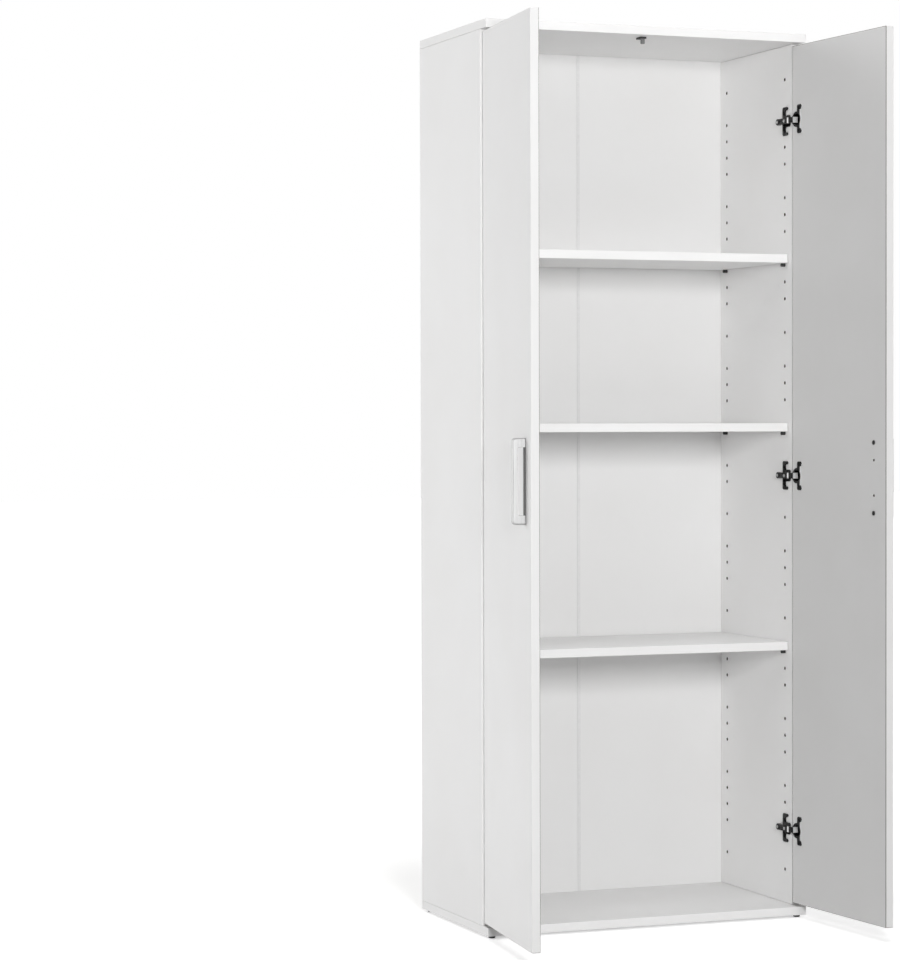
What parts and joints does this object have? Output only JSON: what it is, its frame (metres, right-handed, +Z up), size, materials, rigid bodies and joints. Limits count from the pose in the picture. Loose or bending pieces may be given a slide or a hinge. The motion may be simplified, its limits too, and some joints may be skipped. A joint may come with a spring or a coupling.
{
  "type": "utility cabinet",
  "caption": "Tall free-standing utility cabinet with hinged doors, bow handles, concealed cup hinges and adjustable shelves on pins.",
  "frame": {"origin": "on the floor under the middle of the carcass, which stands on 5 mm glides", "axes": "+Z up, +X to the right as seen by someone who faces the doors, the front towards -Y"},
  "size_m": [0.7451, 0.6363, 1.669],
  "materials": {
    "melamine": "white melamine film on chipboard, with a fine satin texture and matching edge banding",
    "hardboard": "white lacquered hardboard",
    "white_plastic": "extruded white plastic",
    "satin_aluminium": "satin",
    "dark_nickel": "dark nickel plated steel",
    "zinc_steel": "zinc plated",
    "black_plastic": "moulded",
    "grey_rubber": "matt"
  },
  "bodies": {
    "cabinet": {"left_side": "melamine", "right_side": "melamine", "top_board": "melamine", "bottom_board": "melamine", "shelf_upper": "melamine", "shelf_middle": "melamine", "shelf_lower": "melamine", "back_panel_left": "hardboard", "back_panel_right": "hardboard", "back_joint_strip": "white_plastic", "glide_front_left": "black_plastic", "glide_front_right": "black_plastic", "glide_rear_left": "black_plastic", "glide_rear_right": "black_plastic", "door_stop_plate": "black_plastic", "door_stop_bumper": "grey_rubber", "shelf_pin_upper_left_front": "black_plastic", "shelf_pin_upper_left_rear": "black_plastic", "shelf_pin_upper_right_front": "black_plastic", "shelf_pin_upper_right_rear": "black_plastic", "shelf_pin_middle_left_front": "black_plastic", "shelf_pin_middle_left_rear": "black_plastic", "shelf_pin_middle_right_front": "black_plastic", "shelf_pin_middle_right_rear": "black_plastic", "shelf_pin_lower_left_front": "black_plastic", "shelf_pin_lower_left_rear": "black_plastic", "shelf_pin_lower_right_front": "black_plastic", "shelf_pin_lower_right_rear": "black_plastic", "left_hinge_top_plate": "dark_nickel", "left_hinge_top_arm": "dark_nickel", "left_hinge_top_pin": "zinc_steel", "left_hinge_middle_plate": "dark_nickel", "left_hinge_middle_arm": "dark_nickel", "left_hinge_middle_pin": "zinc_steel", "left_hinge_bottom_plate": "dark_nickel", "left_hinge_bottom_arm": "dark_nickel", "left_hinge_bottom_pin": "zinc_steel", "right_hinge_top_plate": "dark_nickel", "right_hinge_top_arm": "dark_nickel", "right_hinge_top_pin": "zinc_steel", "right_hinge_middle_plate": "dark_nickel", "right_hinge_middle_arm": "dark_nickel", "right_hinge_middle_pin": "zinc_steel", "right_hinge_bottom_plate": "dark_nickel", "right_hinge_bottom_arm": "dark_nickel", "right_hinge_bottom_pin": "zinc_steel"},
    "left_door_body": {"left_door": "melamine", "left_handle": "satin_aluminium", "left_handle_screw_upper": "zinc_steel", "left_handle_screw_lower": "zinc_steel", "left_hinge_top_cup": "dark_nickel", "left_hinge_middle_cup": "dark_nickel", "left_hinge_bottom_cup": "dark_nickel"},
    "right_door_body": {"right_door": "melamine", "right_handle": "satin_aluminium", "right_handle_screw_upper": "zinc_steel", "right_handle_screw_lower": "zinc_steel", "right_hinge_top_cup": "dark_nickel", "right_hinge_middle_cup": "dark_nickel", "right_hinge_bottom_cup": "dark_nickel"}
  },
  "joints": [
    {"name": "left_door_hinge", "type": "hinge", "parent": "cabinet", "child": "left_door_body", "pos_m": [-0.315, -0.153, 0.837], "axis": [0, 0, -1], "range_deg": [-97, 3]},
    {"name": "right_door_hinge", "type": "hinge", "parent": "cabinet", "child": "right_door_body", "pos_m": [0.315, -0.153, 0.837], "axis": [0, 0, 1], "range_deg": [-94, 6]}
  ]
}
